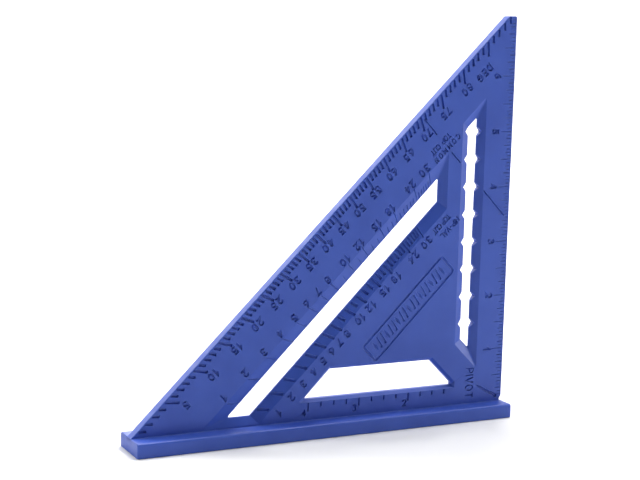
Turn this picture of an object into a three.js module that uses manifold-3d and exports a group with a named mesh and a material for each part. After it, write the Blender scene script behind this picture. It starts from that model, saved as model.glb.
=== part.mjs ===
// A seven inch speed square: one moulded plastic triangle, modelled as the flat blade and the
// T-shaped fence that runs along its bottom edge. Millimetres, +Z up, the front face towards -Y.
//
// The blade is drawn in its own plane. u runs along the fence and is 0 at the pivot corner, where
// the upright rule edge meets the fence; v runs up from the fence's top face. A slanted edge at
// 45 degrees is given by v - u (rising to the right) or v + u (falling to the right).
import * as THREE from 'three';
import { mergeVertices } from 'three/addons/utils/BufferGeometryUtils.js';
import Module from 'manifold-3d';

const wasm = await Module();
wasm.setup();

const INCH = 25.4;

// Blade
const RULE_LENGTH = 7 * INCH;
const TIP_HEIGHT = RULE_LENGTH + 1.6;
const BLADE_THICKNESS = 4.9;
const HYPOTENUSE = 183.4;
const PIVOT_NOTCH = { depth: 1.0, square: 0.9, top: 2.4 };

// Fence
const FENCE_OVERHANG = 0.5;
const FENCE_LENGTH = HYPOTENUSE + FENCE_OVERHANG;
const FENCE_WIDTH = 21.6;
const FENCE_HEIGHT = 6.5;
const FENCE_TOP_RADIUS = 1.2;
const FENCE_BOTTOM_RADIUS = 0.6;
const FENCE_END_CHAMFER = 0.4;

// The blade's foot stands in a shallow seat along the fence, which parts the two ledges.
const SEAT_DEPTH = 1.2;
const SEAT_CLEARANCE = 0.3;

// Windows: each line is the edge of the clear opening, and bevel is how far each side's sloping
// face reaches past it. The bevels of both faces stop at a thin land halfway through the blade.
const BEVEL_LAND = 0.8;
const BEVEL_DEPTH = (BLADE_THICKNESS - BEVEL_LAND) / 2;
const LONG_WINDOW = {
  upperLeft: 143.9,
  lowerRight: 133.1,
  bottom: 4.4,
  side: -37.8,
  bevel: { upperLeft: 5.8, lowerRight: 5.1, bottom: 3.6, side: 4.0 },
};
const SCRIBE_SLOT = {
  left: -22.75,
  right: -18.15,
  top: 151.7,
  bottom: 8.0,
  bevel: { left: 4.0, right: 3.5, top: 4.1, bottom: 4.2 },
};
const HAND_WINDOW = {
  left: 113.0,
  right: -16.8,
  bottom: 9.45,
  top: 22.25,
  side: -27.4,
  chamfer: 1.3,
};
const CORNER_RADIUS = 0.5;
const CORNER_STEPS = 3;

// Pencil notches: square holes turned by 45 degrees, every half inch along the scribe slot.
const NOTCH_HALF_DIAGONAL = 4.45;
const NOTCH_PITCH = INCH / 2;
const NOTCH_FIRST = 1.5 * INCH;
const NOTCH_COUNT = 8;

const CUT_MARGIN = 1;
const EDGE_STEPS = 4;
const PLASTIC_BLUE = 0x34509f;

// The row's origin is under the middle of the fence, on the face it stands on.
const ORIGIN_U = FENCE_OVERHANG - FENCE_LENGTH / 2;
const ORIGIN_DEPTH = BLADE_THICKNESS / 2;

const point = (u, v) => new THREE.Vector2(u, v);

// The outline of a counter-clockwise convex polygon with each corner rounded to one radius.
function roundCorners(corners, radius) {
  const outline = [];
  corners.forEach((corner, index) => {
    const before = corners[(index + corners.length - 1) % corners.length];
    const after = corners[(index + 1) % corners.length];
    const toBefore = before.clone().sub(corner).normalize();
    const toAfter = after.clone().sub(corner).normalize();
    const halfAngle = Math.acos(toBefore.dot(toAfter)) / 2;
    const inward = toBefore.clone().add(toAfter).normalize();
    const centre = corner.clone().addScaledVector(inward, radius / Math.sin(halfAngle));
    const start = corner.clone().addScaledVector(toBefore, radius / Math.tan(halfAngle)).sub(centre);
    const sweep = Math.PI - 2 * halfAngle;
    for (let step = 0; step <= CORNER_STEPS; step += 1) {
      const turned = start.clone().rotateAround(point(0, 0), (sweep * step) / CORNER_STEPS);
      outline.push(turned.add(centre));
    }
  });
  return outline;
}

// A closed solid through outlines with equal point counts, each lying at its own depth.
function solidThrough(sections) {
  const positions = [];
  const indices = [];
  const count = sections[0].outline.length;
  for (const { outline, depth } of sections) {
    for (const corner of outline) {
      positions.push(corner.x, depth, corner.y);
    }
  }
  for (let ring = 0; ring + 1 < sections.length; ring += 1) {
    for (let side = 0; side < count; side += 1) {
      const near = ring * count + side;
      const nearNext = ring * count + ((side + 1) % count);
      indices.push(near, near + count, nearNext + count);
      indices.push(near, nearNext + count, nearNext);
    }
  }
  const backRing = (sections.length - 1) * count;
  for (const [a, b, c] of THREE.ShapeUtils.triangulateShape(sections[0].outline, [])) {
    indices.push(a, b, c);
    indices.push(backRing + a, backRing + c, backRing + b);
  }
  const geometry = new THREE.BufferGeometry();
  geometry.setAttribute('position', new THREE.Float32BufferAttribute(positions, 3));
  geometry.setIndex(indices);
  return geometry;
}

function toSolid(geometry) {
  const bare = geometry.clone();
  bare.deleteAttribute('normal');
  bare.deleteAttribute('uv');
  const merged = mergeVertices(bare);
  return new wasm.Manifold(new wasm.Mesh({
    numProp: 3,
    vertProperties: new Float32Array(merged.attributes.position.array),
    triVerts: new Uint32Array(merged.index.array),
  }));
}

function toGeometry(solid) {
  const mesh = solid.getMesh();
  const geometry = new THREE.BufferGeometry();
  geometry.setAttribute('position', new THREE.BufferAttribute(mesh.vertProperties, 3));
  geometry.setIndex(new THREE.BufferAttribute(mesh.triVerts, 1));
  const faceted = geometry.toNonIndexed();
  faceted.computeVertexNormals();
  return faceted;
}

// The cutter of one window: wide at both faces, sloping in to a short straight wall.
function windowCutter(opening, rim, slopeDepth) {
  const outer = roundCorners(rim, CORNER_RADIUS);
  const inner = roundCorners(opening, CORNER_RADIUS);
  return toSolid(solidThrough([
    { outline: outer, depth: -CUT_MARGIN },
    { outline: outer, depth: 0 },
    { outline: inner, depth: slopeDepth },
    { outline: inner, depth: BLADE_THICKNESS - slopeDepth },
    { outline: outer, depth: BLADE_THICKNESS },
    { outline: outer, depth: BLADE_THICKNESS + CUT_MARGIN },
  ]));
}

function longWindowCorners(grow) {
  const upperLeft = LONG_WINDOW.upperLeft + grow.upperLeft * Math.SQRT2;
  const lowerRight = LONG_WINDOW.lowerRight - grow.lowerRight * Math.SQRT2;
  const bottom = LONG_WINDOW.bottom - grow.bottom;
  const side = LONG_WINDOW.side + grow.side;
  return [
    point(bottom - upperLeft, bottom),
    point(bottom - lowerRight, bottom),
    point(side, lowerRight + side),
    point(side, upperLeft + side),
  ];
}

function scribeSlotCorners(grow) {
  const left = SCRIBE_SLOT.left - grow.left;
  const right = SCRIBE_SLOT.right + grow.right;
  const top = SCRIBE_SLOT.top + grow.top * Math.SQRT2;
  const bottom = SCRIBE_SLOT.bottom - grow.bottom * Math.SQRT2;
  return [
    point(left, bottom - left),
    point(right, bottom - right),
    point(right, top + right),
    point(left, top + left),
  ];
}

function handWindowCorners(grow) {
  const left = HAND_WINDOW.left + grow * Math.SQRT2;
  const right = HAND_WINDOW.right + grow * Math.SQRT2;
  const bottom = HAND_WINDOW.bottom - grow;
  const top = HAND_WINDOW.top + grow;
  const side = HAND_WINDOW.side + grow;
  return [
    point(bottom - left, bottom),
    point(side, bottom),
    point(side, right - side),
    point(right - top, top),
    point(top - left, top),
  ];
}

function pencilNotchCutters() {
  const centre = (SCRIBE_SLOT.left + SCRIBE_SLOT.right) / 2;
  const cutters = [];
  for (let index = 0; index < NOTCH_COUNT; index += 1) {
    const height = NOTCH_FIRST + index * NOTCH_PITCH;
    const outline = [
      point(centre, height - NOTCH_HALF_DIAGONAL),
      point(centre + NOTCH_HALF_DIAGONAL, height),
      point(centre, height + NOTCH_HALF_DIAGONAL),
      point(centre - NOTCH_HALF_DIAGONAL, height),
    ];
    cutters.push(toSolid(solidThrough([
      { outline, depth: -CUT_MARGIN },
      { outline, depth: BLADE_THICKNESS + CUT_MARGIN },
    ])));
  }
  return cutters;
}

function bladeSolid() {
  const outline = [
    point(-HYPOTENUSE, -SEAT_DEPTH),
    point(-PIVOT_NOTCH.depth, -SEAT_DEPTH),
    point(-PIVOT_NOTCH.depth, PIVOT_NOTCH.square),
    point(0, PIVOT_NOTCH.top),
    point(0, TIP_HEIGHT),
    point(TIP_HEIGHT - HYPOTENUSE, TIP_HEIGHT),
    point(-HYPOTENUSE, 0),
  ];
  const plate = toSolid(solidThrough([
    { outline, depth: 0 },
    { outline, depth: BLADE_THICKNESS },
  ]));
  const flush = { upperLeft: 0, lowerRight: 0, left: 0, right: 0, top: 0, bottom: 0, side: 0 };
  const cutters = [
    windowCutter(longWindowCorners(flush), longWindowCorners(LONG_WINDOW.bevel), BEVEL_DEPTH),
    windowCutter(scribeSlotCorners(flush), scribeSlotCorners(SCRIBE_SLOT.bevel), BEVEL_DEPTH),
    windowCutter(handWindowCorners(0), handWindowCorners(HAND_WINDOW.chamfer), HAND_WINDOW.chamfer),
    ...pencilNotchCutters(),
  ];
  return cutters.reduce((solid, cutter) => solid.subtract(cutter), plate);
}

// The fence's cross-section, across its width and up: rounded lightly below and more on top.
function fenceSection() {
  const half = FENCE_WIDTH / 2;
  const low = FENCE_BOTTOM_RADIUS;
  const high = FENCE_TOP_RADIUS;
  const quarter = Math.PI / 2;
  const section = new THREE.Shape();
  section.absarc(half - low, low, low, -quarter, 0);
  section.absarc(half - high, FENCE_HEIGHT - high, high, 0, quarter);
  section.absarc(-half + high, FENCE_HEIGHT - high, high, quarter, 2 * quarter);
  section.absarc(-half + low, low, low, 2 * quarter, 3 * quarter);
  section.closePath();
  return section;
}

function fenceSolid() {
  const bar = new THREE.ExtrudeGeometry(fenceSection(), {
    depth: FENCE_LENGTH - 2 * FENCE_END_CHAMFER,
    steps: 1,
    curveSegments: EDGE_STEPS,
    bevelEnabled: true,
    bevelSegments: 1,
    bevelSize: FENCE_END_CHAMFER,
    bevelThickness: FENCE_END_CHAMFER,
    bevelOffset: -FENCE_END_CHAMFER,
  });
  const acrossUpAlong = new THREE.Matrix4().makeBasis(
    new THREE.Vector3(0, 1, 0),
    new THREE.Vector3(0, 0, 1),
    new THREE.Vector3(1, 0, 0),
  );
  bar.applyMatrix4(acrossUpAlong).translate(FENCE_END_CHAMFER - FENCE_LENGTH / 2, 0, 0);
  const seatWidth = BLADE_THICKNESS + 2 * SEAT_CLEARANCE;
  const seat = new THREE.BoxGeometry(FENCE_LENGTH + 2 * CUT_MARGIN, seatWidth, 2 * SEAT_DEPTH);
  seat.translate(0, 0, FENCE_HEIGHT);
  return toSolid(bar).subtract(toSolid(seat));
}

function plasticMesh(name, geometry) {
  const material = new THREE.MeshStandardMaterial({
    color: PLASTIC_BLUE,
    roughness: 0.38,
    metalness: 0,
  });
  const mesh = new THREE.Mesh(geometry, material);
  mesh.name = name;
  return mesh;
}

const blade = plasticMesh('blade', toGeometry(bladeSolid()));
blade.position.set(-ORIGIN_U, -ORIGIN_DEPTH, FENCE_HEIGHT);

const fence = plasticMesh('fence', toGeometry(fenceSolid()));

const group = new THREE.Group();
group.add(blade, fence);

export default group;
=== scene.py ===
import math

import bmesh
import bpy
from mathutils import Matrix, Vector


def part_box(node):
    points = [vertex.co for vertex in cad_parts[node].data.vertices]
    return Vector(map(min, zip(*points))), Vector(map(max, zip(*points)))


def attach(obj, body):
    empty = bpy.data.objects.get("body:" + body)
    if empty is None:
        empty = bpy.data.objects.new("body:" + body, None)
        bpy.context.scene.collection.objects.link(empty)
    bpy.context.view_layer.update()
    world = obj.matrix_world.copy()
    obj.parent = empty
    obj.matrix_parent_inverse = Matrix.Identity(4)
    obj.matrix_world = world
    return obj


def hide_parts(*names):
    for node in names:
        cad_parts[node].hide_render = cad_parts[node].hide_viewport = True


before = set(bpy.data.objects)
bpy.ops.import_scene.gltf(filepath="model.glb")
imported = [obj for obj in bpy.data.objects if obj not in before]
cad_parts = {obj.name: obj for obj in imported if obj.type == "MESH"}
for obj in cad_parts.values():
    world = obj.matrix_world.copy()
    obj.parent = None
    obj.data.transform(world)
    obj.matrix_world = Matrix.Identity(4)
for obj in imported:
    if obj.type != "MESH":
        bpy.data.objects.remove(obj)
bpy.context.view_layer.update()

# The tool is drawn in millimetres on its own axes. u runs along the fence and is 0 at the ruled
# edge, negative towards the far end. v rises from the fence's top face. Depth goes from the
# blade's front face, 0, to its back face. q = v - u names a line parallel to the hypotenuse, and
# s = v + u one square to it.
MM = 0.001
ROOT2 = math.sqrt(2)
INCH = 25.4
blade_low, blade_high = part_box("blade")
fence_low, fence_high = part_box("fence")
THICKNESS = (blade_high.y - blade_low.y) / MM

HYPOTENUSE = 183.4
TIP_HEIGHT = 179.4
FENCE_END = 0.5
FENCE_FRONT = (fence_low.y - blade_low.y) / MM
FENCE_BACK = (fence_high.y - blade_low.y) / MM
FENCE_HEIGHT = (fence_high.z - fence_low.z) / MM

# The rays of every angle scale meet at the pivot.
PIVOT_U = -0.45
PIVOT_V = -0.5

TO_ROW_FRAME = Matrix.Translation((blade_high.x, blade_low.y, fence_high.z)) @ Matrix.Scale(MM, 4)
FRONT = "front"
BACK = "back"


def place(u, depth, v):
    """A point of the tool's axes, in the row frame in metres."""
    return TO_ROW_FRAME @ Vector((u, depth, v))


def below(face, depth):
    """The depth of a point that lies this far under one face of the blade."""
    return depth if face == FRONT else THICKNESS - depth


# ---------------------------------------------------------------- mesh helpers
# The smallest square of a mitre's length that is used, so that a spike stays short.
SHARPEST_MITRE = 0.2


def rounded(corners, radius, steps):
    """The outline of a counter-clockwise convex polygon with its corners rounded."""
    outline = []
    for index, corner in enumerate(corners):
        before = Vector(corners[index - 1]) - Vector(corner)
        after = Vector(corners[(index + 1) % len(corners)]) - Vector(corner)
        before.normalize()
        after.normalize()
        half = math.acos(max(-1, min(1, before.dot(after)))) / 2
        centre = Vector(corner) + (before + after).normalized() * (radius / math.sin(half))
        arm = Vector(corner) + before * (radius / math.tan(half)) - centre
        sweep = math.pi - 2 * half
        for step in range(steps + 1):
            a = sweep * step / steps
            turned_x = arm.x * math.cos(a) - arm.y * math.sin(a)
            turned_y = arm.x * math.sin(a) + arm.y * math.cos(a)
            outline.append((centre.x + turned_x, centre.y + turned_y))
    return outline


def inset(outline, distance):
    """A counter-clockwise outline moved inwards, each side by the same distance."""
    moved = []
    for index, corner in enumerate(outline):
        here = Vector(corner)
        into = (here - Vector(outline[index - 1])).normalized()
        out = (Vector(outline[(index + 1) % len(outline)]) - here).normalized()
        normal_in = Vector((-into.y, into.x))
        normal_out = Vector((-out.y, out.x))
        mitre = normal_in + normal_out
        stretch = 2 / max(mitre.length_squared, SHARPEST_MITRE)
        moved.append(tuple(here + mitre * (distance * stretch)))
    return moved


def face_outwards(bm, faces):
    """Turns the faces of one closed solid over if they point into it."""
    volume = 0.0
    for face in faces:
        corners = [vert.co for vert in face.verts]
        volume += sum(corners[0].dot(a.cross(b)) for a, b in zip(corners[1:], corners[2:]))
    if volume < 0:
        bmesh.ops.reverse_faces(bm, faces=faces)


def add_loft(bm, rings):
    """Adds the closed solid through rings of (u, depth, v) points, in millimetres."""
    layers = [[bm.verts.new(point) for point in ring] for ring in rings]
    count = len(layers[0])
    faces = [bm.faces.new(list(reversed(layers[0]))), bm.faces.new(layers[-1])]
    for low, high in zip(layers, layers[1:]):
        for side in range(count):
            after = (side + 1) % count
            faces.append(bm.faces.new((low[side], low[after], high[after], high[side])))
    face_outwards(bm, faces)


def add_torus(bm, rings):
    """Adds the closed solid whose section is swept round a loop of rings."""
    layers = [[bm.verts.new(point) for point in ring] for ring in rings]
    count = len(layers[0])
    faces = []
    for index, low in enumerate(layers):
        high = layers[(index + 1) % len(layers)]
        for side in range(count):
            after = (side + 1) % count
            faces.append(bm.faces.new((low[side], low[after], high[after], high[side])))
    face_outwards(bm, faces)


def to_object(bm, name):
    mesh = bpy.data.meshes.new(name)
    bm.to_mesh(mesh)
    bm.free()
    piece = bpy.data.objects.new(name, mesh)
    bpy.context.scene.collection.objects.link(piece)
    return piece


def triangulate(mesh):
    bm = bmesh.new()
    bm.from_mesh(mesh)
    bmesh.ops.triangulate(bm, faces=bm.faces)
    bm.to_mesh(mesh)
    bm.free()


def combine(target, tool, operation):
    """Joins or cuts target with tool, which is used up. Every face stays a triangle."""
    modifier = target.modifiers.new("combine", "BOOLEAN")
    modifier.operation = operation
    modifier.solver = "MANIFOLD"
    modifier.object = tool
    bpy.context.view_layer.update()
    made = bpy.data.meshes.new_from_object(target.evaluated_get(bpy.context.evaluated_depsgraph_get()))
    triangulate(made)
    target.modifiers.clear()
    old = target.data
    target.data = made
    bpy.data.meshes.remove(old)
    bpy.data.objects.remove(tool)


# ---------------------------------------------------------------- the blade and its windows
RIM_RADIUS = 0.35
RIM_STEPS = 4
CORNER_STEPS = 6
NOTCH_DEPTH = 1.0
NOTCH_SQUARE = 0.9
NOTCH_TOP = 2.4
FOOT_DEPTH = 0.9
TIP_RADIUS = 1.6
TIP_SHIFT = 0.66
TIP_STEPS = 5

BEVEL_DEPTH = 2.05
LONG_WINDOW = {"upper_left": 143.9, "lower_right": 133.1, "bottom": 4.4, "side": -37.8}
LONG_BEVEL = {"upper_left": 5.8, "lower_right": 5.1, "bottom": 3.6, "side": 4.0}
SLOT = {"left": -22.75, "right": -18.15, "top": 151.7, "bottom": 8.0}
SLOT_BEVEL = {"left": 4.0, "right": 3.5, "top": 4.1, "bottom": 4.2}
HAND = {"left": 113.0, "right": -16.8, "bottom": 9.45, "top": 22.25, "side": -27.4}
HAND_CHAMFER = 1.3
CORNER_RADIUS = 0.5

# Half the diagonal of a pencil notch, which is a square hole turned by 45 degrees.
PENCIL_HALF = 4.45
PENCIL_CORNER = 0.2
PENCIL_FIRST = 1.5 * INCH
PENCIL_PITCH = INCH / 2
PENCIL_COUNT = 8


def blade_plate():
    """The triangular plate with its foot, pivot notch and flat tip, its edges rounded."""
    outline = [
        (-HYPOTENUSE, -FOOT_DEPTH),
        (-NOTCH_DEPTH, -FOOT_DEPTH),
        (-NOTCH_DEPTH, NOTCH_SQUARE - 0.2),
        (-NOTCH_DEPTH + 0.12, NOTCH_SQUARE + 0.1),
        (-0.16, NOTCH_TOP - 0.15),
        (0, NOTCH_TOP + 0.3),
    ]
    tip = [(0, TIP_HEIGHT - 0.9), (-0.07, TIP_HEIGHT - 0.5), (-0.26, TIP_HEIGHT - 0.26)]
    tip += [(-0.5, TIP_HEIGHT - 0.07), (-0.9, TIP_HEIGHT)]
    heel = TIP_HEIGHT - HYPOTENUSE
    centre = (heel + TIP_SHIFT, TIP_HEIGHT - TIP_RADIUS)
    for step in range(TIP_STEPS + 1):
        a = math.pi / 4 * step / TIP_STEPS
        tip.append((centre[0] - TIP_RADIUS * math.sin(a), centre[1] + TIP_RADIUS * math.cos(a)))
    outline += tip
    outline.append((-HYPOTENUSE, 0.0))
    rings = []
    for step in range(RIM_STEPS + 1):
        a = math.pi / 2 * step / RIM_STEPS
        depth = RIM_RADIUS * (1 - math.cos(a))
        ring = inset(outline, RIM_RADIUS * (1 - math.sin(a)))
        rings.append([(u, depth, v) for u, v in ring])
    rings += [[(u, THICKNESS - d, v) for u, d, v in ring] for ring in reversed(rings)]
    bm = bmesh.new()
    add_loft(bm, rings)
    return to_object(bm, "blade_visual")


def long_corners(grow):
    """The long window's corners: 0 is the clear opening and 1 the rim of its sloping faces."""
    upper = LONG_WINDOW["upper_left"] + grow * LONG_BEVEL["upper_left"] * ROOT2
    lower = LONG_WINDOW["lower_right"] - grow * LONG_BEVEL["lower_right"] * ROOT2
    bottom = LONG_WINDOW["bottom"] - grow * LONG_BEVEL["bottom"]
    side = LONG_WINDOW["side"] + grow * LONG_BEVEL["side"]
    return [
        (bottom - upper, bottom),
        (bottom - lower, bottom),
        (side, lower + side),
        (side, upper + side),
    ]


def slot_corners(grow):
    """The scribe slot's corners, between its clear opening and its rim."""
    left = SLOT["left"] - grow * SLOT_BEVEL["left"]
    right = SLOT["right"] + grow * SLOT_BEVEL["right"]
    top = SLOT["top"] + grow * SLOT_BEVEL["top"] * ROOT2
    bottom = SLOT["bottom"] - grow * SLOT_BEVEL["bottom"] * ROOT2
    return [(left, bottom - left), (right, bottom - right), (right, top + right), (left, top + left)]


def hand_corners(grow):
    """The hand window's corners, between its clear opening and its rim."""
    left = HAND["left"] + grow * HAND_CHAMFER * ROOT2
    right = HAND["right"] + grow * HAND_CHAMFER * ROOT2
    bottom = HAND["bottom"] - grow * HAND_CHAMFER
    top = HAND["top"] + grow * HAND_CHAMFER
    side = HAND["side"] + grow * HAND_CHAMFER
    return [
        (bottom - left, bottom),
        (side, bottom),
        (side, right - side),
        (right - top, top),
        (top - left, top),
    ]


def window_cutter(corners, slope_depth):
    """A cutter that is wide at both faces and slopes in to a land, with softened edges."""
    half = [
        (1.03, -1.0),
        (1.03, 0.0),
        (1.005, 0.02),
        (0.96, 0.04 * slope_depth + 0.03),
        (0.06, 0.94 * slope_depth),
        (0.018, 0.99 * slope_depth + 0.02),
        (0.0, slope_depth + 0.14),
    ]
    profile = half + [(grow, THICKNESS - depth) for grow, depth in reversed(half)]
    bm = bmesh.new()
    add_loft(bm, [
        [(u, depth, v) for u, v in rounded(corners(grow), CORNER_RADIUS, CORNER_STEPS)]
        for grow, depth in profile
    ])
    return to_object(bm, "window_cutter")


def pencil_cutter():
    """The row of turned squares along the scribe slot."""
    centre = (SLOT["left"] + SLOT["right"]) / 2
    bm = bmesh.new()
    for index in range(PENCIL_COUNT):
        height = PENCIL_FIRST + index * PENCIL_PITCH
        diamond = rounded([
            (centre, height - PENCIL_HALF),
            (centre + PENCIL_HALF, height),
            (centre, height + PENCIL_HALF),
            (centre - PENCIL_HALF, height),
        ], PENCIL_CORNER, 3)
        add_loft(bm, [[(u, depth, v) for u, v in diamond] for depth in (-1, THICKNESS + 1)])
    return to_object(bm, "pencil_cutter")


# ---------------------------------------------------------------- sunk marks
MARK_DEPTH = 0.8
# No mark reaches the blade's middle plane, where it would meet its twin on the other face.
MARK_FLOOR = THICKNESS / 2 - 0.06
CLEAR = 0.3


def ray_point(angle, q):
    """Where the ray from the pivot at this angle above the fence crosses v - u = q."""
    reach = (q - PIVOT_V + PIVOT_U) / (math.sin(angle) + math.cos(angle))
    return Vector((PIVOT_U - reach * math.cos(angle), PIVOT_V + reach * math.sin(angle)))


def stroke_outline(start, end, width):
    """The rectangle of a straight stroke between two points."""
    along = (Vector(end) - Vector(start)).normalized()
    across = Vector((-along.y, along.x)) * (width / 2)
    low_side = [Vector(start) - across, Vector(end) - across]
    high_side = [Vector(end) + across, Vector(start) + across]
    return [tuple(corner) for corner in low_side + high_side]


def add_sunk(bm, outline, face, surface=None, depth=MARK_DEPTH, taper=0.2):
    """Adds the cutter of one mark with sloping walls. surface gives the depth of a sloping face."""
    level = surface or (lambda point: 0.0)
    sides = list(zip(outline, outline[1:] + outline[:1]))
    narrow = min((Vector(a) - Vector(b)).length for a, b in sides)
    if sum(a[0] * b[1] - b[0] * a[1] for a, b in sides) < 0:
        outline = outline[::-1]
    rings = [[(u, below(face, -CLEAR), v) for u, v in outline]]
    rings.append([(u, below(face, level((u, v))), v) for u, v in outline])
    for share, sink in ((0.5, 0.7), (1.0, 1.0)):
        ring = inset(outline, taper * narrow * share)
        floor = [min(level(point) + depth * sink, MARK_FLOOR) for point in ring]
        rings.append([(u, below(face, sunk), v) for (u, v), sunk in zip(ring, floor)])
    add_loft(bm, rings)


def bevel_level(opening, rim):
    """The depth of a window's sloping face at a point, from its v - u."""
    def level(point):
        share = (point[1] - point[0] - rim) / (opening - rim)
        return BEVEL_DEPTH * max(0.0, min(1.0, share))
    return level


DEGREE_TICK = {"setback": 0.4, "long": 6.7, "short": 3.5, "width": 1.25, "depth": 0.95}


def degree_marks(bm, face):
    """Ticks of the degree scale, from just inside the hypotenuse towards the pivot."""
    for degree in range(1, 90):
        start = ray_point(math.radians(degree), HYPOTENUSE - DEGREE_TICK["setback"] * ROOT2)
        length = DEGREE_TICK["long" if degree % 5 == 0 else "short"]
        end = start + (Vector((PIVOT_U, PIVOT_V)) - start).normalized() * length
        add_sunk(bm, stroke_outline(start, end, DEGREE_TICK["width"]), face, depth=DEGREE_TICK["depth"])


# A rafter scale marks the rise for this run of a common rafter, or of a hip or valley rafter.
COMMON_RUN = 12
HIP_RUN = 17
LARGEST_RISE = 30
LABELLED = (1, 2, 3, 4, 5, 6, 7, 8, 10, 12, 15, 18, 24, 30)
COMMON_TICK = {"setback": 0.4, "long": 6.4, "short": 3.2, "width": 0.8, "depth": 0.4}
HIP_TICK = {"setback": 0.5, "long": 5.6, "short": 3.6, "width": 1.4, "depth": 0.8}
# A hip tick is never wider than this share of the way to the next one.
HIP_TICK_SHARE = 0.55


def rafter_marks(bm, face):
    """Ticks of the two rafter scales, which run over the long window's sloping faces."""
    upper = LONG_WINDOW["upper_left"]
    upper_rim = upper + LONG_BEVEL["upper_left"] * ROOT2
    lower = LONG_WINDOW["lower_right"]
    lower_rim = lower - LONG_BEVEL["lower_right"] * ROOT2
    upper_level = bevel_level(upper, upper_rim)
    lower_level = bevel_level(lower, lower_rim)
    pivot = Vector((PIVOT_U, PIVOT_V))
    for rise in range(1, LARGEST_RISE + 1):
        size = "long" if rise in LABELLED else "short"
        start = ray_point(math.atan(rise / COMMON_RUN), upper + COMMON_TICK["setback"])
        end = start + (start - pivot).normalized() * COMMON_TICK[size]
        tick = stroke_outline(start, end, COMMON_TICK["width"])
        add_sunk(bm, tick, face, upper_level, COMMON_TICK["depth"])
        angle = math.atan(rise / HIP_RUN)
        start = ray_point(angle, lower - HIP_TICK["setback"])
        pitch = (pivot - start).length * (math.atan((rise + 1) / HIP_RUN) - angle)
        end = start + (pivot - start).normalized() * HIP_TICK[size]
        tick = stroke_outline(start, end, min(HIP_TICK["width"], HIP_TICK_SHARE * pitch))
        add_sunk(bm, tick, face, lower_level, HIP_TICK["depth"])


RULE_INCHES = 7
RULE_START = -0.5
RULE_WIDTH = 0.55
RULE_DEPTH = 0.4
# The length of a mark that falls on every so many sixteenths of an inch.
RULE_LENGTHS = ((1, 2.2), (2, 3.0), (4, 3.8), (8, 5.4), (16, 6.2))
QUARTERS = range(5, 17)
QUARTER_TOP = 8.1
QUARTER_WIDTH = 0.8


def rule_marks(bm, face):
    """The upright inch rule in sixteenths, and the quarter-inch rule under the hand window."""
    for sixteenth in range(1, 16 * RULE_INCHES + 1):
        v = sixteenth * INCH / 16
        length = max(length for every, length in RULE_LENGTHS if sixteenth % every == 0)
        tick = stroke_outline((RULE_START, v), (RULE_START - length, v), RULE_WIDTH)
        add_sunk(bm, tick, face, depth=RULE_DEPTH)
    for quarter in QUARTERS:
        u = -quarter * INCH / 4
        length = 4.0 if quarter % 4 == 0 else 2.3
        add_sunk(bm, stroke_outline((u, QUARTER_TOP), (u, QUARTER_TOP - length), QUARTER_WIDTH), face)


GUIDE_S = 85.3
GUIDE_STRETCHES = ((180.3, 166.2), (150.3, 140.4), (114.4, 91.0))
GUIDE_WIDTH = 0.8
PIVOT_POINTER = [(-14.3, 8.1), (-3.0, 1.3), (-2.4, 3.0), (-13.9, 8.9)]


def at_diagonal(s, q):
    """The point where a line square to the hypotenuse meets one parallel to it."""
    return ((s - q) / 2, (s + q) / 2)


def guide_marks(bm, face):
    """The line square to the hypotenuse, and the tapered pointer at the pivot."""
    for start, end in GUIDE_STRETCHES:
        line = stroke_outline(at_diagonal(GUIDE_S, start), at_diagonal(GUIDE_S, end), GUIDE_WIDTH)
        add_sunk(bm, line, face)
    add_sunk(bm, PIVOT_POINTER, face, taper=0.3)


PLATE_Q = 99.3
PLATE_S = -4.6
PLATE_LENGTH = 55.4
PLATE_WIDTH = 9.4
PLATE_CORNER = 1.2
PLATE_GROOVE = 1.3
PLATE_GROOVE_DEPTH = 0.55
PATTERN_COUNT = 19
PATTERN_PITCH = 2.6
PATTERN_DEPTH = 0.6


def plate_point(along, across):
    """A point of the nameplate: along it, up to the right, and across it, down to the right."""
    return at_diagonal(PLATE_S + along * ROOT2, PLATE_Q - across * ROOT2)


def plate_marks(bm, face):
    """A sunk border round a plain row of slanting bars and diamonds."""
    half_length = PLATE_LENGTH / 2
    half_width = PLATE_WIDTH / 2
    loop = rounded([
        (-half_length, -half_width),
        (half_length, -half_width),
        (half_length, half_width),
        (-half_length, half_width),
    ], PLATE_CORNER, 4)
    section = [(-0.5, -CLEAR), (-0.5, 0.0), (-0.3, PLATE_GROOVE_DEPTH)]
    section += [(-offset, depth) for offset, depth in reversed(section)]
    paths = [(inset(loop, offset * PLATE_GROOVE), depth) for offset, depth in section]
    rings = []
    for index in range(len(loop)):
        ring = []
        for path, depth in paths:
            u, v = plate_point(*path[index])
            ring.append((u, below(face, depth), v))
        rings.append(ring)
    add_torus(bm, rings)
    diamond = [(-0.9, 0), (0, 2.9), (0.9, 0), (0, -2.9)]
    slanting_bar = [(-1.0, 2.8), (0, 2.8), (1.0, -2.8), (0, -2.8)]
    for index in range(PATTERN_COUNT):
        place_in_row = index - PATTERN_COUNT // 2
        shape = diamond if place_in_row % 3 == 0 else slanting_bar
        outline = [plate_point(place_in_row * PATTERN_PITCH + along, across) for along, across in shape]
        add_sunk(bm, outline, face, depth=PATTERN_DEPTH)


# ---------------------------------------------------------------- numerals and legends
def bow(centre_x, centre_y, radius_x, radius_y, start, stop, steps=10):
    """Points along part of an ellipse, between two angles in degrees."""
    angles = [math.radians(start + (stop - start) * step / steps) for step in range(steps + 1)]
    return [(centre_x + radius_x * math.cos(a), centre_y + radius_y * math.sin(a)) for a in angles]


def hoop(centre_x, centre_y, radius_x, radius_y):
    """A closed ellipse. A path that ends in None is closed."""
    return bow(centre_x, centre_y, radius_x, radius_y, 0, 342, 19) + [None]


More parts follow.
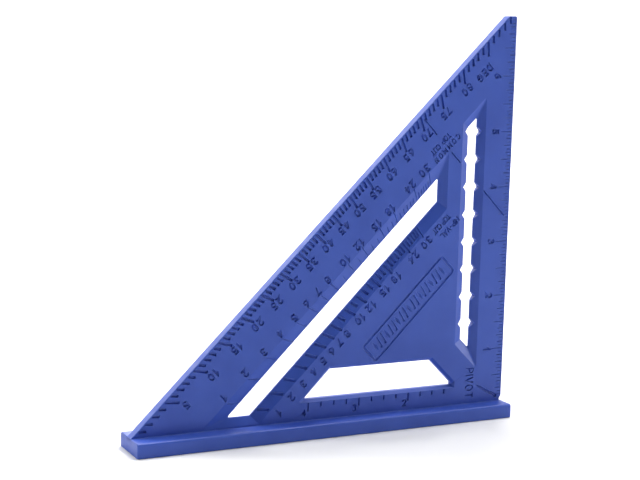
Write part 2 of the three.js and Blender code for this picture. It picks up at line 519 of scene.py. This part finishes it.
# Each glyph is its width, then the centre lines of its strokes, for a height of 1.
UPRIGHT = [(0, 0), (0, 1)]
P_BOWL = [(0, 1), (0.28, 1)] + bow(0.28, 0.74, 0.27, 0.26, 80, -80) + [(0.28, 0.48), (0, 0.48)]
GLYPHS = {
    "0": (0.6, hoop(0.3, 0.5, 0.3, 0.5)),
    "1": (0.3, [(0, 0.74), (0.24, 1), (0.24, 0)]),
    "2": (0.6, bow(0.3, 0.72, 0.28, 0.28, 165, -40) + [(0.02, 0.0), (0.6, 0.0)]),
    "3": (0.6, bow(0.28, 0.76, 0.25, 0.24, 150, -80), bow(0.28, 0.27, 0.3, 0.27, 85, -150)),
    "4": (0.6, [(0.43, 0), (0.43, 1)], [(0.37, 0.95), (0.0, 0.3), (0.6, 0.3)]),
    "5": (0.6, [(0.54, 1), (0.1, 1), (0.06, 0.52)], bow(0.28, 0.31, 0.3, 0.31, 135, -145)),
    "6": (0.6, hoop(0.3, 0.29, 0.3, 0.29), [(0.5, 1), (0.26, 0.8), (0.08, 0.55), (0.0, 0.3)]),
    "7": (0.58, [(0, 1), (0.58, 1), (0.2, 0)]),
    "8": (0.6, hoop(0.3, 0.76, 0.25, 0.24), hoop(0.3, 0.27, 0.3, 0.27)),
    "9": (0.6, hoop(0.3, 0.71, 0.3, 0.29), [(0.1, 0), (0.34, 0.2), (0.52, 0.45), (0.6, 0.7)]),
    "A": (0.66, [(0, 0), (0.33, 1), (0.66, 0)], [(0.12, 0.32), (0.54, 0.32)]),
    "C": (0.6, bow(0.34, 0.5, 0.34, 0.5, 48, 312, 14)),
    "D": (0.6, [(0, 0), (0, 1), (0.25, 1)] + bow(0.25, 0.5, 0.35, 0.5, 80, -80) + [(0.25, 0), None]),
    "E": (0.52, [(0.52, 1), (0, 1), (0, 0), (0.52, 0)], [(0, 0.52), (0.44, 0.52)]),
    "G": (0.66, bow(0.34, 0.5, 0.34, 0.5, 48, 335, 15) + [(0.66, 0.46), (0.38, 0.46)]),
    "H": (0.6, UPRIGHT, [(0.6, 0), (0.6, 1)], [(0, 0.52), (0.6, 0.52)]),
    "I": (0.0, UPRIGHT),
    "L": (0.5, [(0, 1), (0, 0), (0.5, 0)]),
    "M": (0.72, UPRIGHT, [(0.72, 0), (0.72, 1)], [(0.03, 0.94), (0.36, 0.3), (0.69, 0.94)]),
    "N": (0.6, UPRIGHT, [(0.6, 0), (0.6, 1)], [(0.03, 0.95), (0.57, 0.05)]),
    "O": (0.66, hoop(0.33, 0.5, 0.33, 0.5)),
    "P": (0.55, UPRIGHT, P_BOWL),
    "T": (0.6, [(0, 1), (0.6, 1)], [(0.3, 0), (0.3, 1)]),
    "U": (0.6, [(0, 1), (0, 0.3)] + bow(0.3, 0.3, 0.3, 0.3, 190, 350) + [(0.6, 0.3), (0.6, 1)]),
    "V": (0.62, [(0, 1), (0.31, 0), (0.62, 1)]),
    "-": (0.4, [(0.02, 0.5), (0.38, 0.5)]),
    " ": (0.3,),
}
STROKES_PER_GLYPH = 3
NUMERAL_HEIGHT = 4.1
NUMERAL_STROKE = 1.0
TEXT_DEPTH = 0.8
LETTER_GAP = 0.52
STROKE_OVERRUN = 0.35
SHARPEST_STROKE_MITRE = 0.35


def add_stroke(bm, path, width, face):
    """Adds the cutter of one pen stroke. A path whose last point is None is closed."""
    closed = path[-1] is None
    points = [Vector(point) for point in (path[:-1] if closed else path)]
    if not closed:
        overrun = width * STROKE_OVERRUN
        points[0] = points[0] + (points[0] - points[1]).normalized() * overrun
        points[-1] = points[-1] + (points[-1] - points[-2]).normalized() * overrun
    section = [(-0.5, -CLEAR), (-0.5, 0), (-0.42, TEXT_DEPTH * 0.8), (-0.2, TEXT_DEPTH)]
    section += [(-offset, depth) for offset, depth in reversed(section)]
    rings = []
    for index, here in enumerate(points):
        before = points[index - 1] if closed or index > 0 else None
        after = points[(index + 1) % len(points)] if closed or index + 1 < len(points) else None
        into = (here - before).normalized() if before is not None else (after - here).normalized()
        out = (after - here).normalized() if after is not None else into
        mitre = Vector((-into.y - out.y, into.x + out.x))
        mitre *= 2 / max(mitre.length_squared, SHARPEST_STROKE_MITRE)
        rings.append([
            (here.x + mitre.x * offset * width, below(face, depth), here.y + mitre.y * offset * width)
            for offset, depth in section
        ])
    if closed:
        add_torus(bm, rings)
    else:
        add_loft(bm, rings)


def add_text(groups, text, centre, turn, face, height=NUMERAL_HEIGHT, stroke=NUMERAL_STROKE, length=None):
    """Adds a text round its centre, turned by this angle as seen from the front.

    Strokes that may touch go to different groups, so that no cutter crosses itself.
    """
    tall = height - stroke
    widths = [GLYPHS[letter][0] * tall for letter in text]
    gap = LETTER_GAP * tall
    if length:
        gap = (length - stroke - sum(widths)) / (len(text) - 1)
    total = sum(widths) + gap * (len(text) - 1)
    lean = math.radians(turn)
    along = Vector((math.cos(lean), math.sin(lean)))
    upward = Vector((-math.sin(lean), math.cos(lean)))
    if face == BACK:
        along = -along
    reach = -total / 2
    for index, (letter, width) in enumerate(zip(text, widths)):
        first = STROKES_PER_GLYPH * (index % 2)
        for bm, path in zip(groups[first:], GLYPHS[letter][1:]):
            placed = [
                point and Vector(centre) + along * (reach + point[0] * tall)
                + upward * ((point[1] - 0.5) * tall)
                for point in path
            ]
            add_stroke(bm, placed, stroke, face)
        reach += width + gap


def beside_tick(angle, tick_end, q):
    """A numeral's centre, square to the hypotenuse from the end of its tick."""
    end = ray_point(angle, tick_end)
    return at_diagonal(end.x + end.y, q)


SLANT = 225
INCH_NUMERAL_U = -9.3
LEGEND_STROKE = 0.58


def numerals(groups, face):
    """The numbers of the three angle scales and of the two rules."""
    for degree in range(5, 85, 5):
        add_text(groups, str(degree), beside_tick(math.radians(degree), 173.5, 171.4), SLANT, face)
    for rise in LABELLED:
        common = beside_tick(math.atan(rise / COMMON_RUN), 150.0, 156.0)
        add_text(groups, str(rise), common, SLANT, face)
        hip = beside_tick(math.atan(rise / HIP_RUN), 123.5, 121.0)
        add_text(groups, str(rise), hip, SLANT, face)
    for inch in range(1, RULE_INCHES):
        add_text(groups, str(inch), (INCH_NUMERAL_U, inch * INCH), -90, face, 4.0)
    for inch, centre in ((4, (-103.6, 3.5)), (3, (-78.5, 3.6)), (2, (-52.7, 3.5))):
        add_text(groups, str(inch), centre, 0, face, 3.5, 0.75)


def legends(groups, face):
    """The plain words that say what each scale is."""
    add_text(groups, "DEG", at_diagonal(137.2, 170.0), SLANT, face)
    add_text(groups, "COMMON", at_diagonal(84.8, 154.2), SLANT, face, 2.9, LEGEND_STROKE, 17.3)
    add_text(groups, "TOP CUT", at_diagonal(83.2, 159.8), SLANT, face, 2.9, LEGEND_STROKE, 13.2)
    add_text(groups, "HIP-VAL", at_diagonal(51.6, 115.2), SLANT, face, 3.0, LEGEND_STROKE, 12.2)
    add_text(groups, "TOP CUT", at_diagonal(48.8, 121.6), SLANT, face, 3.0, LEGEND_STROKE, 11.6)
    add_text(groups, "PIVOT", (-18.0, 9.8), -90, face, 4.4, 0.62, 14.5)


def carve_marks(blade):
    """Cuts every mark into both faces. The back repeats the front, with its text turned to be read."""
    for face in (FRONT, BACK):
        for maker in (degree_marks, rafter_marks, rule_marks, guide_marks, plate_marks):
            bm = bmesh.new()
            maker(bm, face)
            combine(blade, to_object(bm, maker.__name__), "DIFFERENCE")
        for maker in (numerals, legends):
            groups = [bmesh.new() for group in range(2 * STROKES_PER_GLYPH)]
            maker(groups, face)
            for bm in groups:
                combine(blade, to_object(bm, maker.__name__), "DIFFERENCE")


# ---------------------------------------------------------------- the fence
TOP_RADIUS = 1.2
BOTTOM_RADIUS = 0.6
ROOT_FILLET = 0.3
LEFT_END_RADIUS = 0.45
RIGHT_END_RADIUS = 0.8
END_STEPS = 5
FILLET_STEPS = 6


def fence_section(inward):
    """The fence's outline across its width, moved inwards for its rounded ends."""
    def arc(centre, radius, start, stop, steps):
        return [
            (centre[0] + radius * math.cos(a), centre[1] + radius * math.sin(a))
            for a in (start + (stop - start) * step / steps for step in range(steps + 1))
        ]
    quarter = math.pi / 2
    front, back = FENCE_FRONT + inward, FENCE_BACK - inward
    floor, top = -FENCE_HEIGHT + inward, -inward
    low = max(BOTTOM_RADIUS - inward, 0.15)
    high = max(TOP_RADIUS - inward, 0.3)
    points = arc((back - low, floor + low), low, -quarter, 0, 5)
    points += arc((back - high, top - high), high, 0, quarter, 8)
    points += arc((front + high, top - high), high, quarter, 2 * quarter, 8)
    points += arc((front + low, floor + low), low, 2 * quarter, 3 * quarter, 5)
    return points


def fence_bar():
    """The bar along the bottom, with all its edges rounded."""
    left, right = -HYPOTENUSE, FENCE_END
    rings = []
    for end, radius in ((left, LEFT_END_RADIUS), (right, -RIGHT_END_RADIUS)):
        stations = []
        for step in range(END_STEPS + 1):
            a = math.pi / 2 * step / END_STEPS
            stations.append((end + radius * (1 - math.cos(a)), abs(radius) * (1 - math.sin(a))))
        if end == right:
            stations.reverse()
        rings += [[(u, depth, v) for depth, v in fence_section(inward)] for u, inward in stations]
    bm = bmesh.new()
    add_loft(bm, rings)
    return to_object(bm, "fence_visual")


def root_ridge():
    """The hollow fillets that run into both faces of the blade along its root."""
    section = [(-ROOT_FILLET - 0.02, -1.0)]
    for step in range(FILLET_STEPS + 1):
        a = math.pi / 2 * step / FILLET_STEPS
        section.append((-ROOT_FILLET * (1 - math.sin(a)), ROOT_FILLET * (1 - math.cos(a))))
    section.append((0.3, ROOT_FILLET))
    section += [(THICKNESS - depth, v) for depth, v in reversed(section)]
    left, right = -HYPOTENUSE, -NOTCH_DEPTH
    run_out = ((left + 0.9, 0.0), (left + 2.2, 1.0), (right - 0.9, 1.0), (right - 0.1, 0.1))
    bm = bmesh.new()
    add_loft(bm, [
        [(u, depth, v * lift if v > 0 else v) for depth, v in section]
        for u, lift in run_out
    ])
    return to_object(bm, "root_ridge")


# ---------------------------------------------------------------- material
EDGE_WEAR_REACH = 0.0006
GRAIN_HEIGHT = 0.00005
RIPPLE_HEIGHT = 0.0002


def noise(tree, scale, detail, distortion=0.0):
    """A noise texture fixed to the piece itself."""
    texture = tree.nodes.new("ShaderNodeTexNoise")
    texture.inputs["Scale"].default_value = scale
    texture.inputs["Detail"].default_value = detail
    texture.inputs["Distortion"].default_value = distortion
    place_on_piece = tree.nodes.new("ShaderNodeTexCoord")
    tree.links.new(place_on_piece.outputs["Object"], texture.inputs["Vector"])
    return texture.outputs["Fac"]


def remap(tree, value, from_min, from_max, to_min, to_max):
    """A value stretched from one range to another, and kept inside it."""
    node = tree.nodes.new("ShaderNodeMapRange")
    node.inputs["From Min"].default_value = from_min
    node.inputs["From Max"].default_value = from_max
    node.inputs["To Min"].default_value = to_min
    node.inputs["To Max"].default_value = to_max
    tree.links.new(value, node.inputs["Value"])
    return node.outputs["Result"]


def multiply(tree, first, second):
    node = tree.nodes.new("ShaderNodeMath")
    node.operation = "MULTIPLY"
    tree.links.new(first, node.inputs[0])
    tree.links.new(second, node.inputs[1])
    return node.outputs["Value"]


def worn_edges(tree):
    """1 on the sharp edges of the piece, broken up by noise, and 0 on its flats."""
    softened = tree.nodes.new("ShaderNodeBevel")
    softened.samples = 4
    softened.inputs["Radius"].default_value = EDGE_WEAR_REACH
    surface = tree.nodes.new("ShaderNodeNewGeometry")
    alike = tree.nodes.new("ShaderNodeVectorMath")
    alike.operation = "DOT_PRODUCT"
    tree.links.new(softened.outputs["Normal"], alike.inputs[0])
    tree.links.new(surface.outputs["Normal"], alike.inputs[1])
    edge = remap(tree, alike.outputs["Value"], 0.995, 0.86, 0.0, 1.0)
    patches = remap(tree, noise(tree, 420, 3), 0.42, 0.62, 0.15, 1.0)
    return multiply(tree, edge, patches)


def moulded_plastic(name, base):
    """Blue moulded plastic: slow clouding, mould grain and ripple, fine scuffs, pale worn edges."""
    material = bpy.data.materials.new(name)
    material.use_nodes = True
    tree = material.node_tree
    nodes, links = tree.nodes, tree.links
    shader = nodes["Principled BSDF"]
    shader.inputs["IOR"].default_value = 1.5
    shader.inputs["Specular IOR Level"].default_value = 0.3

    tint = nodes.new("ShaderNodeValToRGB")
    tint.color_ramp.elements[0].position = 0.3
    tint.color_ramp.elements[0].color = (base[0] * 0.88, base[1] * 0.9, base[2] * 0.93, 1)
    tint.color_ramp.elements[1].position = 0.7
    tint.color_ramp.elements[1].color = (base[0] * 1.1, base[1] * 1.09, base[2] * 1.05, 1)
    links.new(noise(tree, 45, 5), tint.inputs["Fac"])

    wear = worn_edges(tree)
    pale = nodes.new("ShaderNodeMix")
    pale.data_type = "RGBA"
    links.new(remap(tree, wear, 0.0, 1.0, 0.0, 0.4), pale.inputs["Factor"])
    links.new(tint.outputs["Color"], pale.inputs[6])
    scraped = nodes.new("ShaderNodeValToRGB")
    scraped.color_ramp.elements[0].color = (base[0] * 2.4, base[1] * 2.1, base[2] * 1.3, 1)
    scraped.color_ramp.elements[1].color = (base[0] * 4.2, base[1] * 3.2, base[2] * 1.45, 1)
    links.new(noise(tree, 900, 2), scraped.inputs["Fac"])
    links.new(scraped.outputs["Color"], pale.inputs[7])
    links.new(pale.outputs[2], shader.inputs["Base Color"])

    scuffs = remap(tree, noise(tree, 160, 6, 0.6), 0.3, 0.7, 0.33, 0.47)
    rougher = nodes.new("ShaderNodeMath")
    rougher.operation = "ADD"
    links.new(scuffs, rougher.inputs[0])
    links.new(remap(tree, wear, 0.0, 1.0, 0.0, 0.15), rougher.inputs[1])
    links.new(rougher.outputs["Value"], shader.inputs["Roughness"])

    ripple = nodes.new("ShaderNodeBump")
    ripple.inputs["Strength"].default_value = 0.12
    ripple.inputs["Distance"].default_value = RIPPLE_HEIGHT
    links.new(noise(tree, 240, 2), ripple.inputs["Height"])
    grain = nodes.new("ShaderNodeBump")
    grain.inputs["Strength"].default_value = 0.25
    grain.inputs["Distance"].default_value = GRAIN_HEIGHT
    links.new(noise(tree, 2600, 3), grain.inputs["Height"])
    links.new(ripple.outputs["Normal"], grain.inputs["Normal"])
    links.new(grain.outputs["Normal"], shader.inputs["Normal"])
    return material


WELD_DISTANCE = 0.0002
CHIP_FACES = 20


def clear_chips(bm):
    """Clears what the cuts leave behind: slivers, doubled faces and loose chips, in millimetres."""
    bmesh.ops.remove_doubles(bm, verts=bm.verts, dist=WELD_DISTANCE)
    bmesh.ops.dissolve_degenerate(bm, edges=bm.edges, dist=WELD_DISTANCE)
    bmesh.ops.triangulate(bm, faces=bm.faces)
    same_corners = {}
    for face in bm.faces:
        same_corners.setdefault(frozenset(face.verts), []).append(face)
    doubled = [face for faces in same_corners.values() if len(faces) > 1 for face in faces]
    bmesh.ops.delete(bm, geom=doubled, context="FACES")
    unseen = set(bm.faces)
    while unseen:
        frontier = [unseen.pop()]
        island = set(frontier)
        while frontier:
            face = frontier.pop()
            near = {other for edge in face.edges for other in edge.link_faces} - island
            island |= near
            frontier += near
        unseen -= island
        if len(island) < CHIP_FACES:
            bmesh.ops.delete(bm, geom=list(island), context="FACES")


SHARP_ANGLE = math.radians(32)


def finish_surface(piece, material):
    """Cleans a piece's mesh and shades it softly across rounded edges, crisply across real ones."""
    mesh = piece.data
    mesh.materials.clear()
    mesh.materials.append(material)
    bm = bmesh.new()
    bm.from_mesh(mesh)
    clear_chips(bm)
    bm.transform(TO_ROW_FRAME)
    for face in bm.faces:
        face.smooth = True
    for edge in bm.edges:
        edge.smooth = len(edge.link_faces) == 2 and edge.calc_face_angle() < SHARP_ANGLE
    bm.to_mesh(mesh)
    bm.free()
    weighted = piece.modifiers.new("weighted_normals", "WEIGHTED_NORMAL")
    weighted.keep_sharp = True
    weighted.weight = 100


blade = blade_plate()
combine(blade, window_cutter(long_corners, BEVEL_DEPTH), "DIFFERENCE")
combine(blade, window_cutter(slot_corners, BEVEL_DEPTH), "DIFFERENCE")
combine(blade, window_cutter(hand_corners, HAND_CHAMFER), "DIFFERENCE")
combine(blade, pencil_cutter(), "DIFFERENCE")
carve_marks(blade)
fence = fence_bar()
combine(fence, root_ridge(), "UNION")

BLUE = (0.045, 0.096, 0.46)
finish_surface(blade, moulded_plastic("blade_moulding", BLUE))
finish_surface(fence, moulded_plastic("fence_moulding", BLUE))
for piece, node, slot in ((blade, "blade", "blade_plastic"), (fence, "fence", "fence_plastic")):
    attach(piece, "root")
    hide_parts(node)


# ---------------------------------------------------------------- floor, light and camera
SHEET_REACH = 9.0
SHEET_BEND_START = 1.6
SHEET_BEND_RADIUS = 0.9
SHEET_BEND_STEPS = 12
SHEET_TOP = 5.0


def floor_and_backdrop():
    """One pale sheet that runs level under the tool and curves up far behind it."""
    bm = bmesh.new()
    profile = [(-SHEET_REACH, 0.0)]
    for step in range(SHEET_BEND_STEPS + 1):
        a = math.pi / 2 * step / SHEET_BEND_STEPS
        y = SHEET_BEND_START + SHEET_BEND_RADIUS * math.sin(a)
        profile.append((y, SHEET_BEND_RADIUS * (1 - math.cos(a))))
    profile.append((SHEET_BEND_START + SHEET_BEND_RADIUS, SHEET_TOP))
    layers = [[bm.verts.new((x, y, z)) for y, z in profile] for x in (-SHEET_REACH, SHEET_REACH)]
    for index in range(len(profile) - 1):
        bm.faces.new((layers[0][index], layers[1][index], layers[1][index + 1], layers[0][index + 1]))
    for face in bm.faces:
        face.smooth = True
    sheet = to_object(bm, "studio_sheet")
    paper = bpy.data.materials.new("studio_paper")
    paper.use_nodes = True
    shader = paper.node_tree.nodes["Principled BSDF"]
    shader.inputs["Base Color"].default_value = (0.86, 0.86, 0.86, 1)
    shader.inputs["Roughness"].default_value = 0.9
    sheet.data.materials.append(paper)


def softbox(name, location, target, width, height, watts):
    """A rectangular lamp that faces its target and that the camera doesn't see."""
    light = bpy.data.lights.new(name, "AREA")
    light.shape = "RECTANGLE"
    light.size = width
    light.size_y = height
    light.energy = watts
    lamp = bpy.data.objects.new(name, light)
    bpy.context.scene.collection.objects.link(lamp)
    lamp.location = location
    lamp.rotation_euler = (Vector(target) - Vector(location)).to_track_quat("-Z", "Y").to_euler()
    lamp.visible_camera = False
    return lamp


LIT_POINT = Vector((0, 0, 0.08))
LAMP_DISTANCE = 1.5
FLOOR_LAMP_BEARINGS = (-100, -50, 0, 50, 100)
FLOOR_LAMP_DISTANCE = 3.4
FLOOR_LAMP_HEIGHT = 2.2
FLOOR_LAMP_SIZE = 2.0
FLOOR_LAMP_WATTS = 48
FLOOR_LAMP_SPREAD = 100


def around(azimuth, elevation, size, watts, name):
    """A softbox facing the tool from this bearing, where 0 is square to its front face."""
    bearing, height = math.radians(azimuth), math.radians(elevation)
    direction = Vector((
        math.sin(bearing) * math.cos(height),
        -math.cos(bearing) * math.cos(height),
        math.sin(height),
    ))
    softbox(name, LIT_POINT + direction * LAMP_DISTANCE, LIT_POINT, size, size, watts)


def floor_lamp(azimuth):
    """A softbox over the far floor, with so narrow a beam that it hardly reaches the tool."""
    bearing = math.radians(azimuth)
    spot = Vector((math.sin(bearing), -math.cos(bearing), 0)) * FLOOR_LAMP_DISTANCE
    above = spot + Vector((0, 0, FLOOR_LAMP_HEIGHT))
    lamp = softbox("floor_light", above, spot, FLOOR_LAMP_SIZE, FLOOR_LAMP_SIZE, FLOOR_LAMP_WATTS)
    lamp.data.spread = math.radians(FLOOR_LAMP_SPREAD)


floor_and_backdrop()
for lamp_bearing in FLOOR_LAMP_BEARINGS:
    floor_lamp(lamp_bearing)
around(90, 65, 0.8, 18.5, "right_high_light")
around(68, 5, 0.4, 7.2, "right_low_light")
around(150, 60, 0.5, 11.5, "back_right_light")
around(-150, 60, 0.5, 7, "back_left_light")
around(-97, 25, 0.4, 6, "left_rim_light")
around(180, 15, 1.1, 10, "back_low_light")
around(-75, 60, 0.5, 1.2, "upper_left_light")
softbox("backdrop_light", (0.9, 1.0, 1.5), (1.25, 2.5, 0.4), 1.0, 0.6, 40)

world = bpy.data.worlds.new("studio")
world.use_nodes = True
background = world.node_tree.nodes["Background"]
background.inputs["Color"].default_value = (1, 1, 1, 1)
background.inputs["Strength"].default_value = 0.02
bpy.context.scene.world = world
bpy.context.scene.view_settings.view_transform = "Standard"

CAMERA_AZIMUTH = -26.638
CAMERA_ELEVATION = 8.027
CAMERA_ROLL = 1.474
CAMERA_DISTANCE = 0.616654
CAMERA_LENS = 79.774
CAMERA_TARGET = place(-97.8, 0, 80.368)

azimuth, elevation = math.radians(CAMERA_AZIMUTH), math.radians(CAMERA_ELEVATION)
back = Vector((
    math.sin(azimuth) * math.cos(elevation),
    -math.cos(azimuth) * math.cos(elevation),
    math.sin(elevation),
))
level_right = Vector((0, 0, 1)).cross(back).normalized()
level_up = back.cross(level_right)
roll = math.radians(CAMERA_ROLL)
right = level_right * math.cos(roll) + level_up * math.sin(roll)
up = level_up * math.cos(roll) - level_right * math.sin(roll)
lens = bpy.data.cameras.new("camera")
lens.sensor_width = 36
lens.lens = CAMERA_LENS
lens.clip_start = 0.01
lens.clip_end = 50
camera = bpy.data.objects.new("camera", lens)
bpy.context.scene.collection.objects.link(camera)
turn = camera.matrix_world.to_3x3()
for row in range(3):
    turn[row][0], turn[row][1], turn[row][2] = right[row], up[row], back[row]
camera.matrix_world = turn.to_4x4()
camera.location = CAMERA_TARGET + back * CAMERA_DISTANCE
bpy.context.scene.camera = camera
